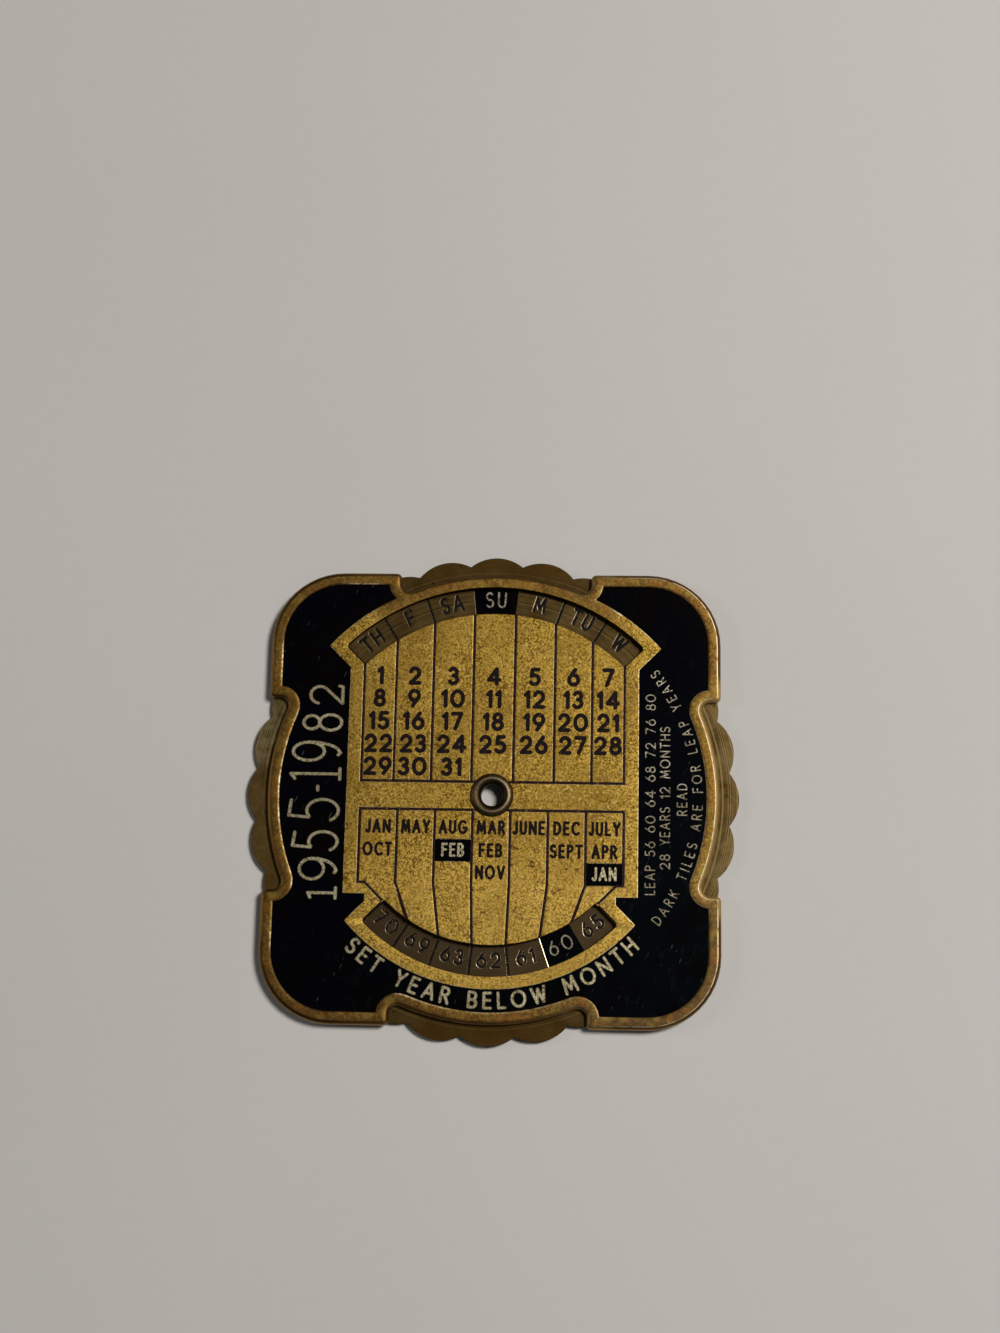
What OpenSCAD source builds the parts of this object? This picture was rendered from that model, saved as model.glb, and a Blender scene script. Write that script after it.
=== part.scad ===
// Pocket perpetual calendar: a struck plate and a scalloped wheel on one eyelet.
// Millimetres. The origin lies on the eyelet's axis, on the surface that the calendar rests on,
// with +Z out of the face and +Y towards the weekday window.

/* [Plate outline] */
// Width and height of the plate over its corner lobes
plate_w = 50; // [46:0.5:56]
// Thickness of the plate
plate_t = 0.8; // [0.7:0.05:1.2]
// Radius of the corner lobes
lobe_r = 8; // [5:0.5:10]
// Distance from the middle of a side to the end of a lobe
lobe_end = 10.6; // [9.8:0.1:12]
// Radius that rounds the end of a lobe
lobe_end_r = 0.6; // [0.3:0.05:0.9]
// Radius of the notch between a lobe and the curved side
notch_r = 0.9; // [0.6:0.1:1.2]
// How far the curved sides stay inside the lobes
bulge_drop = 0.2; // [0:0.1:1.5]

/* [Rim and relief] */
// Width of the raised border, in from the plate's edge
border_w = 1.4; // [1.2:0.05:1.8]
// Width of the rounding along the border's outer edge
rim_round_w = 0.55; // [0.3:0.05:0.7]
// Height of the rounding along the border's outer edge
rim_round_h = 0.5; // [0.3:0.05:0.6]
// Depth of the recess that holds the enamel
field_depth = 0.3; // [0.2:0.05:0.5]
// Thickness of the enamel in the recess
field_enamel_t = 0.2; // [0.1:0.05:0.2]

/* [Windows] */
// Number of wheel cells seen in each window
cells_seen = 7; // [5:2:7]
// Radial width of the weekday window
day_window_w = 3; // [2:0.1:3.2]
// Radial width of the year window
year_window_w = 3.3; // [2:0.1:3.5]
// Radius in the corners of the windows
window_corner_r = 0.4; // [0.1:0.05:0.8]
// Metal between a window's end and the tip of its frame
ear_w = 1.35; // [1:0.05:1.8]
// Width of the enamel band between the year window's frame and the border
band_w = 2.4; // [1.5:0.1:3]

/* [Panel and ruled grid] */
// Margin of the panel outside the ruled columns
panel_margin = 1.6; // [0.8:0.1:2.4]
// Distance from the eyelet's centre down to the foot of the panel
panel_foot = 10.95; // [10.5:0.05:11.4]
// Width of the neck between the panel and the year window's frame
neck_w = 27.3; // [26:0.1:28]
// Distance from the eyelet's centre up to the foot of the date columns
dates_foot = 1.45; // [1.2:0.05:2]
// Distance from the eyelet's centre down to the top of the month columns
months_top = 1.65; // [1.2:0.05:2.2]
// Distance from the eyelet's centre down to the bend in the month columns
months_bend = 9.7; // [9:0.1:10.2]
// Height of one row of months
month_row_h = 2.4; // [2:0.1:2.6]
// Width of the ruled lines
line_w = 0.2; // [0.1:0.02:0.3]
// Depth of the ruled lines, the dark month tiles and the dark cells
line_depth = 0.12; // [0.1:0.01:0.2]
// Thickness of the dark fill in lines, tiles and cells
line_fill_t = 0.09; // [0.05:0.01:0.1]

/* [Wheel] */
// Number of scallops round the wheel, and of cells in each of its rings
cells = 28; // [28:7:35]
// Thickness of the wheel
wheel_t = 0.5; // [0.4:0.05:0.8]
// How far the scallops stand out beyond the plate's curved sides
wheel_show = 2.2; // [1.5:0.1:3]
// Depth of the scallops
scallop_h = 0.9; // [0.5:0.05:1.3]
// How far a dark cell reaches under the edge of its window
cell_margin = 0.15; // [0.05:0.05:0.2]
// Metal left between a dark cell and its neighbour's edge
fence_w = 0.1; // [0.05:0.01:0.2]
// Radius in the corners of a dark cell
cell_corner_r = 0.1; // [0.05:0.05:0.3]

/* [Eyelet] */
// Bore through the eyelet
bore_d = 2.4; // [1.8:0.1:2.8]
// Wall of the eyelet's barrel
barrel_wall = 0.35; // [0.2:0.05:0.5]
// Width of the rolled flange, from the bore outwards
roll_w = 1.2; // [1:0.05:1.4]
// Height of the roll above the plate
roll_h = 0.45; // [0.3:0.05:0.55]
// How much the roll behind the wheel is clinched flat
clinch_flat = 0.15; // [0.1:0.01:0.2]

/* [Clearances] */
// Radial clearance round the eyelet's barrel
barrel_clear = 0.05; // [0.02:0.01:0.1]
// Gap between the wheel and the plate
plate_gap = 0.06; // [0.04:0.01:0.15]
// Gap between the wheel and the clinched roll
clinch_gap = 0.03; // [0.02:0.01:0.1]

/* [Hidden] */

// Year cells of leap years, counted anticlockwise from the left end of the year window at rest
leap_cells = [5, 7, 10, 18, 20, 22, 23];
// Month tiles as column from the left and row from the bend upwards
leap_tiles = [[2, 1], [6, 0]];

// Segments along each stretch of the plate's outline, an eighth of it at a time
bulge_n = 6;
notch_n = 7;
lobe_end_n = 4;
lobe_n = 6;
// Segments across the rounding of the rim, and round a window's corner
rim_n = 4;
corner_n = 4;
// Largest turn between neighbouring points on the long arcs of windows and cells
arc_step = 2.5;
// Least radius at the inset corner of a lobe
least_r = 0.05;
// Depth by which cutters pass through a face
pass = 0.5;
$fn = 96;

half_w = plate_w / 2;
bulge_r = half_w - bulge_drop;
notch_y = lobe_end - notch_r;
notch_x = sqrt(pow(bulge_r + notch_r, 2) - pow(notch_y, 2));
notch_a = atan2(notch_y, notch_x);

// The rounded edge and the flat of the plate share a lapped strip of the border
lap_mid = (rim_round_w + border_w) / 2;
lap_half = (border_w - rim_round_w) / 4;

pitch = 360 / cells;
window_half = cells_seen * pitch / 2;
day_r_out = bulge_r - border_w;
day_r_in = day_r_out - day_window_w;
year_frame_r = bulge_r - border_w - band_w;
year_r_out = year_frame_r - border_w;
year_r_in = year_r_out - year_window_w;
grid_half = day_r_in * sin(window_half);
column_w = 2 * grid_half / cells_seen;
day_axis = 90;
year_axis = 270;

wheel_r = bulge_r + wheel_show;
valley_r = wheel_r - scallop_h;
scallop_sag = wheel_r - valley_r * cos(pitch / 2);
scallop_r = (pow(valley_r * sin(pitch / 2), 2) + pow(scallop_sag, 2)) / (2 * scallop_sag);

bore_r = bore_d / 2;
barrel_r = bore_r + barrel_wall;
hole_r = barrel_r + barrel_clear;
roll_mid_r = bore_r + roll_w / 2;
roll_end_r = bore_r + roll_w;
roll_arc_r = (pow(roll_w / 2, 2) + pow(roll_h, 2)) / (2 * roll_h);
roll_sink = roll_arc_r - roll_h;
clinch_h = roll_h - clinch_flat;

wheel_z = clinch_h + clinch_gap;
wheel_top = wheel_z + wheel_t;
plate_z = wheel_top + plate_gap;
plate_top = plate_z + plate_t;
field_z = plate_top - field_depth;
line_z = plate_top - line_depth;
cell_z = wheel_top - line_depth;

brass = "#b08d3a";
wheel_brass = "#8f7434";
bronze = "#5a4526";
enamel = "#14130f";

// Points along an arc
function arc(c, r, a0, a1, n) =
    [for (i = [0:n]) let (a = a0 + (a1 - a0) * i / n) [c.x + r * cos(a), c.y + r * sin(a)]];

// Segments that keep an arc within the largest turn
function steps(turn) = max(1, ceil(abs(turn) / arc_step));

// The plate's outline, moved in by an inset: first an eighth of it, from the middle of the +X side to
// the tip of a lobe, then the quarter that mirrors it, then all four quarters
function outline_eighth(inset) =
    let (end_r = max(lobe_end_r - inset, least_r),
         side_x = half_w - inset,
         cut_r = notch_r + inset,
         stop_x = min(notch_x, side_x - end_r - least_r),
         stop_a = acos((stop_x - notch_x) / cut_r),
         end_c = [side_x - end_r, notch_y + cut_r * sin(stop_a) + end_r],
         lobe_c = [half_w - lobe_r, half_w - lobe_r])
    concat(arc([0, 0], bulge_r - inset, 0, notch_a * (1 - 1 / bulge_n), bulge_n - 1),
           arc([notch_x, notch_y], cut_r, 180 + notch_a, stop_a, notch_n),
           arc(end_c, end_r, -90, 0, lobe_end_n),
           arc(lobe_c, lobe_r - inset, 0, 45, lobe_n));

function outline_quarter(inset) =
    let (eighth = outline_eighth(inset))
    concat(eighth, [for (i = [len(eighth) - 2:-1:1]) [eighth[i].y, eighth[i].x]]);

function outline(inset) =
    let (quarter = outline_quarter(inset))
    [for (k = [0:3]) for (p = quarter)
        [p.x * cos(90 * k) - p.y * sin(90 * k), p.x * sin(90 * k) + p.y * cos(90 * k)]];

// Ring sector round +X with rounded corners, for a window or a cell
function sector(r_in, r_out, half, corner) =
    let (turn_out = asin(corner / (r_out - corner)),
         turn_in = asin(corner / (r_in + corner)),
         a_out = half - turn_out,
         a_in = half - turn_in,
         c_out = (r_out - corner) * [cos(a_out), sin(a_out)],
         c_in = (r_in + corner) * [cos(a_in), sin(a_in)],
         half_out = concat(arc([0, 0], r_out, 0, a_out, steps(a_out)),
                           [for (i = [1:corner_n]) let (a = a_out + (90 + turn_out) * i / corner_n)
                               c_out + corner * [cos(a), sin(a)]],
                           arc(c_in, corner, half + 90, a_in + 180, corner_n),
                           [for (i = [1:steps(a_in)]) let (a = a_in * (1 - i / steps(a_in)))
                               r_in * [cos(a), sin(a)]]))
    concat(half_out, [for (i = [len(half_out) - 2:-1:1]) [half_out[i].x, -half_out[i].y]]);

// Point at a radius and an angle from +X
function polar(r, a) = r * [cos(a), sin(a)];

// Straight line of the grid between two points
module stroke(p, q) {
    run = q - p;
    translate(p)
        rotate(atan2(run.y, run.x))
            translate([0, -line_w / 2])
                square([norm(run), line_w]);
}

// Both windows
module windows_2d() {
    rotate(day_axis)
        polygon(sector(day_r_in, day_r_out, window_half, window_corner_r));
    rotate(year_axis)
        polygon(sector(year_r_in, year_r_out, window_half, window_corner_r));
}

// Frame of a window, with an ear beyond each of its ends
module frame_2d(r) {
    tip = 2 * r;
    back = ear_w / sin(window_half);
    intersection() {
        circle(r);
        polygon([[-back, 0],
                 [-back, 0] + polar(tip, window_half),
                 [-back, 0] + polar(tip, -window_half)]);
    }
}

// Raised panel with the frames of both windows
module panel_2d() {
    panel_half = grid_half + panel_margin;
    ear_y = panel_half / tan(window_half) - ear_w / sin(window_half);
    neck_y = neck_w / 2 / tan(window_half) - ear_w / sin(window_half);
    translate([-panel_half, -panel_foot])
        square([2 * panel_half, panel_foot + ear_y]);
    translate([-neck_w / 2, -neck_y])
        square([neck_w, neck_y]);
    rotate(day_axis)
        frame_2d(bulge_r);
    rotate(year_axis)
        frame_2d(year_frame_r);
}

// Enamel field between the border and the panel
module field_2d() {
    difference() {
        polygon(outline(border_w));
        panel_2d();
    }
}

// Ruled lines of the date columns, each up to an edge between two weekday cells
module date_lines_2d() {
    difference() {
        union() {
            translate([-grid_half - line_w / 2, dates_foot - line_w / 2])
                square([2 * grid_half + line_w, line_w]);
            for (i = [0:cells_seen])
                let (a = (i - cells_seen / 2) * pitch,
                     x = day_r_in * sin(a))
                    stroke([x, dates_foot], [x, day_r_in * cos(a) + line_w]);
        }
        windows_2d();
        circle(roll_end_r);
    }
}

// Ruled lines of the month columns, each bent to an edge between two year cells
module month_lines_2d() {
    difference() {
        union() {
            translate([-grid_half - line_w / 2, -months_top - line_w / 2])
                square([2 * grid_half + line_w, line_w]);
            for (i = [0:cells_seen])
                let (x = (i - cells_seen / 2) * column_w,
                     a = (i - cells_seen / 2) * pitch,
                     knee = [x, -months_bend],
                     turn = [sign(x) * min(abs(x), neck_w / 2), -months_bend]) {
                    stroke([x, -months_top], knee - [0, line_w / 2]);
                    stroke(knee + [sign(x) * line_w / 2, 0], turn);
                    stroke(turn, (year_r_in + line_w) * [sin(a), -cos(a)]);
                }
        }
        windows_2d();
        circle(roll_end_r);
    }
}

// Dark tiles of the months that serve in leap years, between the ruled lines
module tiles_2d() {
    difference() {
        for (t = leap_tiles)
            translate([(t.x - cells_seen / 2) * column_w, -months_bend + t.y * month_row_h])
                square([column_w, month_row_h]);
        month_lines_2d();
    }
}

// Cell of a ring, turned from +X by an angle
module cell_2d(r_in, r_out, angle) {
    inner = r_in - cell_margin;
    rotate(angle)
        polygon(sector(inner, r_out + cell_margin, pitch / 2 - asin(fence_w / inner), cell_corner_r));
}

// Weekday cells of the Sundays
module sunday_cells_2d() {
    for (i = [0:cells_seen:cells - 1])
        cell_2d(day_r_in, day_r_out, day_axis + i * pitch);
}

// Year cells of the leap years
module leap_cells_2d() {
    for (j = leap_cells)
        cell_2d(year_r_in, year_r_out, year_axis + (j - (cells_seen - 1) / 2) * pitch);
}

// Radial line between two cells
module divider_2d(r_in, r_out, angle) {
    stroke(polar(r_in - cell_margin, angle), polar(r_out + cell_margin, angle));
}

// Dividers of the weekday ring, left out beside the Sundays
module day_dividers_2d() {
    for (i = [0:cells - 1])
        if (i % cells_seen != 0 && i % cells_seen != cells_seen - 1)
            divider_2d(day_r_in, day_r_out, day_axis + (i + 0.5) * pitch);
}

// Dividers of the year ring, left out beside the leap years
module year_dividers_2d() {
    for (j = [0:cells - 1])
        if (len([for (k = leap_cells) if (k == j || k == (j + 1) % cells) k]) == 0)
            divider_2d(year_r_in, year_r_out, year_axis + (j + 0.5 - (cells_seen - 1) / 2) * pitch);
}

// Plate's border with its rounded outer edge, swept round the outline
module rim() {
    rounding = [for (i = [0:rim_n]) let (a = 90 * i / rim_n)
                   [rim_round_w * (1 - cos(a)), plate_t - rim_round_h * (1 - sin(a))]];
    profile = concat([[0, 0]], rounding, [[lap_mid + lap_half, plate_t], [lap_mid + lap_half, 0]]);
    loops = [for (p = profile) outline(p.x)];
    n = len(loops[0]);
    m = len(profile);
    points = [for (j = [0:m - 1]) for (p = loops[j]) [p.x, p.y, profile[j].y]];
    faces = [for (j = [0:m - 1]) for (i = [0:n - 1])
                let (a = j * n + i,
                     b = j * n + (i + 1) % n,
                     c = (j + 1) % m * n + (i + 1) % n,
                     d = (j + 1) % m * n + i)
                    each [[a, c, b], [a, d, c]]];
    translate([0, 0, plate_z])
        polyhedron(points, faces);
}

// Prism that stands on a level and carries a flat shape
module slab(z, t) {
    translate([0, 0, z])
        linear_extrude(t)
            children();
}

module front_plate() {
    color(brass) {
        rim();
        difference() {
            slab(plate_z, plate_t)
                polygon(outline(lap_mid - lap_half));
            slab(field_z, field_depth + pass)
                field_2d();
            slab(plate_z - pass, plate_t + 2 * pass)
                windows_2d();
            slab(line_z, line_depth + pass) {
                date_lines_2d();
                month_lines_2d();
                tiles_2d();
            }
            translate([0, 0, plate_z - pass])
                cylinder(h = plate_t + 2 * pass, r = hole_r);
        }
    }
}

module field_enamel() {
    color(enamel)
        slab(field_z, field_enamel_t)
            field_2d();
}

module month_tile_enamel() {
    color(enamel)
        slab(line_z, line_fill_t)
            tiles_2d();
}

module date_grid_fill() {
    color(enamel)
        slab(line_z, line_fill_t)
            date_lines_2d();
}

module month_grid_fill() {
    color(enamel)
        slab(line_z, line_fill_t)
            month_lines_2d();
}

module calendar_wheel() {
    color(wheel_brass)
        difference() {
            slab(wheel_z, wheel_t) {
                circle(wheel_r - scallop_r);
                for (i = [0:cells - 1])
                    rotate(i * pitch)
                        translate([wheel_r - scallop_r, 0])
                            circle(scallop_r);
            }
            slab(cell_z, line_depth + pass) {
                sunday_cells_2d();
                leap_cells_2d();
                day_dividers_2d();
                year_dividers_2d();
            }
            translate([0, 0, wheel_z - pass])
                cylinder(h = wheel_t + 2 * pass, r = hole_r);
        }
}

module sunday_enamel() {
    color(enamel)
        slab(cell_z, line_fill_t)
            sunday_cells_2d();
}

module leap_year_enamel() {
    color(enamel)
        slab(cell_z, line_fill_t)
            leap_cells_2d();
}

module day_divider_fill() {
    color(enamel)
        slab(cell_z, line_fill_t)
            day_dividers_2d();
}

module year_divider_fill() {
    color(enamel)
        slab(cell_z, line_fill_t)
            year_dividers_2d();
}

// Section of a rolled flange, from the bore outwards and up to a height
module roll_2d(h) {
    intersection() {
        translate([roll_mid_r, -roll_sink])
            circle(roll_arc_r);
        translate([bore_r, 0])
            square([roll_w, h]);
    }
}

module eyelet() {
    color(bronze)
        rotate_extrude() {
            translate([0, plate_top])
                roll_2d(roll_h);
            translate([bore_r, clinch_h])
                square([barrel_wall, plate_top - clinch_h]);
            translate([0, clinch_h])
                mirror([0, 1])
                    roll_2d(clinch_h);
        }
}

front_plate();
field_enamel();
month_tile_enamel();
date_grid_fill();
month_grid_fill();
calendar_wheel();
sunday_enamel();
leap_year_enamel();
day_divider_fill();
year_divider_fill();
eyelet();
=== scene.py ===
# %% [markdown]
# # A struck brass pocket calendar
# The calendar is a lobed brass plate with black enamel in its recesses, held by one hollow eyelet to a
# scalloped brass wheel. The wheel carries weekdays and years, which show through two arc windows.
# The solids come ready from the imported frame, so this lesson is about the finish: softened edges,
# grained metal, glossy enamel, and the struck figures that turn two discs of brass into a calendar.

# %% The frame
import math

import bpy
from mathutils import Matrix, Vector


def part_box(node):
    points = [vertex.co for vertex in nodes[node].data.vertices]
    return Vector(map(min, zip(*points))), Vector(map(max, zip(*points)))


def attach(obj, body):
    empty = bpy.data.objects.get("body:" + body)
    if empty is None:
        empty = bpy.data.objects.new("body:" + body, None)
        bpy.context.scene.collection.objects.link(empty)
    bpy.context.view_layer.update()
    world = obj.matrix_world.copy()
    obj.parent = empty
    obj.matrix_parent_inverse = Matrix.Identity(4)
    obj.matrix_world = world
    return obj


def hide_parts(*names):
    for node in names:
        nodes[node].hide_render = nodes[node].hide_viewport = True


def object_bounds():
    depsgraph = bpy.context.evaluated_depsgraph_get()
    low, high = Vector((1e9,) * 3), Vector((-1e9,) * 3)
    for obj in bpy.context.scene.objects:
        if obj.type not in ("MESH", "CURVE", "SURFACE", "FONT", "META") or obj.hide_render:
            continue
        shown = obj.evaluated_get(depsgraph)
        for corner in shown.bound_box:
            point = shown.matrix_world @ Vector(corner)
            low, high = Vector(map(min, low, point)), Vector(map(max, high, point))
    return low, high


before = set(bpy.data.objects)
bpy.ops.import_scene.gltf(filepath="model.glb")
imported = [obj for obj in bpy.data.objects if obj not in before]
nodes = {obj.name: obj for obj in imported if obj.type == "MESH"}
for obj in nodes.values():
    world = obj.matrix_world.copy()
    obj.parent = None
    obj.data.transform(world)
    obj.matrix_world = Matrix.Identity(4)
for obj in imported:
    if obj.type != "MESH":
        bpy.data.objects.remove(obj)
cad_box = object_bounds()
MM = 0.001
cad_size = [round(side / MM, 2) for side in cad_box[1] - cad_box[0]]
print("solids loaded:", len(nodes), "box in mm:", cad_size)

# %% [markdown]
# ## The camera
# The photograph looks down on the calendar from a little below its middle. A camera could be set by
# eye, but here its place, turn and lens were worked out from the regular scallops of the wheel, so the
# picture's perspective is the real one and everything that follows can be compared line by line.

# %% Camera
CAMERA_PLACE = Vector((11.15, -28.47, 209.0)) * MM
CAMERA_TURN = (11.719, 2.664, 1.189)
CAMERA_LENS = 51.63
NEAREST_SEEN = 10 * MM

bpy.ops.object.camera_add(location=CAMERA_PLACE, rotation=[math.radians(a) for a in CAMERA_TURN])
camera = bpy.context.object
camera.name = "photo_camera"
camera.data.lens = CAMERA_LENS
camera.data.clip_start = NEAREST_SEEN
bpy.context.scene.camera = camera
print("camera height over the table in mm:", round(camera.location.z / MM, 1))

# %% [markdown]
# ## Values that can be added
# A procedural finish is arithmetic on numbers that change over a surface. Wiring every sum by hand hides
# the idea, so one small class wraps a node's output and lets ordinary signs do the wiring: `1 - mask`
# adds a Math node. Every other kind of node comes from its single method `node`.


# %% Shader values
class Value:
    """One output in a material's node tree."""

    def __init__(self, tree, socket):
        self.tree = tree
        self.socket = socket

    def node(self, kind, settings, inputs, output=0):
        """Adds a node of a kind, with its settings first and then the values or links of its sockets."""
        made = self.tree.nodes.new(kind)
        for name, setting in settings.items():
            setattr(made, name, setting)
        for name, given in inputs.items():
            if isinstance(given, Value):
                self.tree.links.new(given.socket, made.inputs[name])
            else:
                made.inputs[name].default_value = given
        return Value(self.tree, made.outputs[output])

    def sum_with(self, operation, first, second):
        return self.node("ShaderNodeMath", {"operation": operation}, {0: first, 1: second})

    def __add__(self, other):
        return self.sum_with("ADD", self, other)

    def __sub__(self, other):
        return self.sum_with("SUBTRACT", self, other)

    def __rsub__(self, other):
        return self.sum_with("SUBTRACT", other, self)

    def __mul__(self, other):
        return self.sum_with("MULTIPLY", self, other)

    def __pow__(self, other):
        return self.sum_with("POWER", self, other)

    def __abs__(self):
        return self.node("ShaderNodeMath", {"operation": "ABSOLUTE"}, {0: self})

    __radd__ = __add__
    __rmul__ = __mul__


def between(value, low, high):
    """0 below the low value, 1 above the high one, and a smooth step from one to the other."""
    inputs = {"Value": value, "From Min": low, "From Max": high}
    return value.node("ShaderNodeMapRange", {"interpolation_type": "SMOOTHSTEP"}, inputs)


def below(value, low, high):
    """The same step, falling: 1 below the low value and 0 above the high one."""
    return 1 - between(value, low, high)


def noise(place, size, detail=2.0, rough=0.5):
    """Cloudy noise whose blotches are about one size across, in millimetres."""
    inputs = {"Vector": place, "Scale": 1 / size, "Detail": detail, "Roughness": rough}
    return place.node("ShaderNodeTexNoise", {}, inputs, "Fac")


def blend(mask, first, second):
    """The first colour where the mask is 0, and the second where it is 1."""
    return mask.node("ShaderNodeMix", {"data_type": "RGBA"}, {0: mask, 6: first, 7: second}, 2)


def layered(colour, layers):
    """A colour with others laid over it in their order, each where its own mask is high."""
    for mask, over in layers:
        colour = blend(mask, colour, over)
    return colour


def tint(red, green, blue):
    return (red, green, blue, 1.0)


def new_material(name):
    """A material with its shader, and the place on the object in millimetres."""
    material = bpy.data.materials.new(name)
    material.use_nodes = True
    tree = material.node_tree
    shader = tree.nodes["Principled BSDF"]
    start = Value(tree, tree.nodes.new("ShaderNodeTexCoord").outputs["Object"])
    place = start.node("ShaderNodeMapping", {}, {"Vector": start, "Scale": (1 / MM,) * 3})
    return material, shader, place


def connect(shader, **finish):
    """Sets a shader's sockets: a value that changes over the surface is linked, a number is set."""
    for name, given in finish.items():
        socket = shader.inputs[name.replace("_", " ")]
        if isinstance(given, Value):
            given.tree.links.new(given.socket, socket)
        else:
            socket.default_value = given


def bumps(height, depth):
    """Surface directions for a height from 0 to 1 that stands for a depth in millimetres."""
    inputs = {"Height": height, "Distance": depth * MM, "Strength": 1.0}
    return height.node("ShaderNodeBump", {}, inputs, "Normal")


print("shader values ready")

# %% [markdown]
# ## Table and light
# The calendar lies on a pale table in a dim room. A bright sky all round would be easier to set, but it
# would turn the black enamel grey. So the room stays dark: one warm ceiling lamp at the upper right makes
# the shadows, and two weak lamps, in front and at the left, fill them as pale walls would.

# %% Table and light
TABLE_SIZE = 2400 * MM
TABLE_DARK = tint(0.69, 0.685, 0.675)
TABLE_LIGHT = tint(0.72, 0.715, 0.705)
ROOM = tint(0.02, 0.02, 0.021)
LAMP_COLOUR = (1.0, 0.955, 0.885)
LAMP_DISTANCE = 800
LAMPS = {
    "ceiling_lamp": {"azimuth": 25, "elevation": 58, "size": 240, "energy": 4.4},
    "front_fill": {"azimuth": -70, "elevation": 36, "size": 400, "energy": 0.2},
    "left_fill": {"azimuth": 172, "elevation": 30, "size": 300, "energy": 0.55},
}

material, shader, place = new_material("table_top")
cloud = noise(place, 90.0)
fibre = noise(place, 1.6, detail=3.0)
shade = between(cloud * 0.8 + fibre * 0.2, 0.3, 0.7)
connect(shader, Base_Color=blend(shade, TABLE_DARK, TABLE_LIGHT), Roughness=0.62)
bpy.ops.object.select_all(action="DESELECT")
bpy.ops.mesh.primitive_plane_add(size=TABLE_SIZE)
table = bpy.context.object
table.name = "table_top"
table.data.materials.append(material)

room = bpy.data.worlds.new("dim_room")
room.use_nodes = True
room.node_tree.nodes["Background"].inputs["Color"].default_value = ROOM
bpy.context.scene.world = room
bpy.context.scene.view_settings.view_transform = "Standard"


def add_lamp(name, azimuth, elevation, size, energy):
    """A round lamp that faces the calendar, seen from it at an azimuth and an elevation in degrees."""
    round_about = math.radians(azimuth)
    up = math.radians(elevation)
    flat = math.cos(up)
    towards = Vector((flat * math.cos(round_about), flat * math.sin(round_about), math.sin(up)))
    turn = towards.to_track_quat("Z", "Y").to_euler()
    bpy.ops.object.light_add(type="AREA", location=towards * LAMP_DISTANCE * MM, rotation=turn)
    lamp = bpy.context.object
    lamp.name = name
    lamp.data.shape = "DISK"
    lamp.data.size = size * MM
    lamp.data.energy = energy
    lamp.data.color = LAMP_COLOUR


for name, settings in LAMPS.items():
    add_lamp(name, **settings)
print("lamps over the table:", list(LAMPS))

# %% [markdown]
# ## Grained brass
# The plate was struck in a die with a stippled face, then dulled, so its gold looks sandy: bright grains
# beside brown hollows. A flat gold colour would look like plastic. Three sizes of noise are used here,
# a grain near the limit of sight, a mottle and a wide tarnish, with thin dark curls over them. The grain
# also tilts the surface, so each grain catches the lamp by itself.

# %% Brass
LETTER_GRAIN = {"grain_size": 0.25, "grain_depth": 0.02, "roughness": 0.42}


def part_of(place, axis):
    return place.node("ShaderNodeSeparateXYZ", {}, {0: place}, axis)


def hairs(place, size):
    """Short thin curls: lines of equal height in a noise, kept only here and there."""
    level = noise(place, size, detail=1.0)
    curl = between(level, 0.46, 0.49) - between(level, 0.51, 0.54)
    return curl * between(noise(place, 0.7 * size), 0.53, 0.57)


def brass(name, dark, light, tarnish, grain_size, grain_depth, roughness):
    """A material of sandy brass, with its shader, place, colour and grain for further layers."""
    material, shader, place = new_material(name)
    grain = noise(place, grain_size, detail=3.0, rough=0.7)
    flecks = noise(place, 3.0 * grain_size, detail=2.0)
    cloud = noise(place, 7.0, detail=3.0)
    calm = between(noise(place, 3.0), 0.4, 0.65)
    tone = between(grain * 0.88 + flecks * 0.12, 0.37 - 0.1 * calm, 0.63 + 0.05 * calm)
    low = 0.55 + 0.45 * below(part_of(place, "Y"), -6.0, 4.0)
    metal = layered(blend(tone, dark, light), [
        (between(cloud, 0.42, 0.7) * 0.5, tarnish),
        (hairs(place, 1.1) * between(noise(place, 4.0), 0.36, 0.48) * low, dark),
    ])
    connect(shader, Base_Color=metal, Metallic=1.0, Roughness=roughness + 0.12 * (1 - tone),
            Normal=bumps(grain, grain_depth))
    return material, shader, place, metal, grain


letter_brass = brass("letter_brass", dark=tint(0.20, 0.16, 0.08), light=tint(0.84, 0.77, 0.53),
                     tarnish=tint(0.34, 0.29, 0.16), **LETTER_GRAIN)[0]
dull_brass = brass("dull_brass", dark=tint(0.09, 0.074, 0.046), light=tint(0.57, 0.53, 0.42),
                   tarnish=tint(0.18, 0.15, 0.085), **LETTER_GRAIN)[0]
print("brass for raised letters:", letter_brass.name, dull_brass.name)

# %% [markdown]
# ## Where a point of the plate lies
# Fingers and dirt treat each part of the plate in their own way, and so do the light and shade painted
# below, so its finish starts with masks: the raised border, its outer half, the strips round the windows,
# the back. Masks could be painted by hand, but worked out from a point's place they stay editable. The
# border runs round lobes and bulges, so its mask joins two distances: one in a square with round corners,
# and one from the axle.

# %% Places on the plate
RIM_INNER = 23.2
RIM_BLUR = 0.5
RIM_MIDDLE_ON_LOBES = RIM_INNER + 0.85
RIM_MIDDLE_ON_BULGES = RIM_INNER + 0.6
LOBE_MIDDLE = 17.0
BULGE_HALF = 13.0
DAY_WINDOW = (20.4, 23.4)
YEAR_WINDOW = (16.3, 19.6)
WINDOW_EDGE = 0.25
PLATE_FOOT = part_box("front_plate")[0].z / MM
PLATE_GRAIN = {"grain_size": 0.22, "grain_depth": 0.018, "roughness": 0.52}

plate_brass, shader, place, metal, grain = brass(
    "plate_brass", dark=tint(0.11, 0.054, 0.003), light=tint(0.80, 0.535, 0.105),
    tarnish=tint(0.31, 0.185, 0.030), **PLATE_GRAIN)


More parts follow.
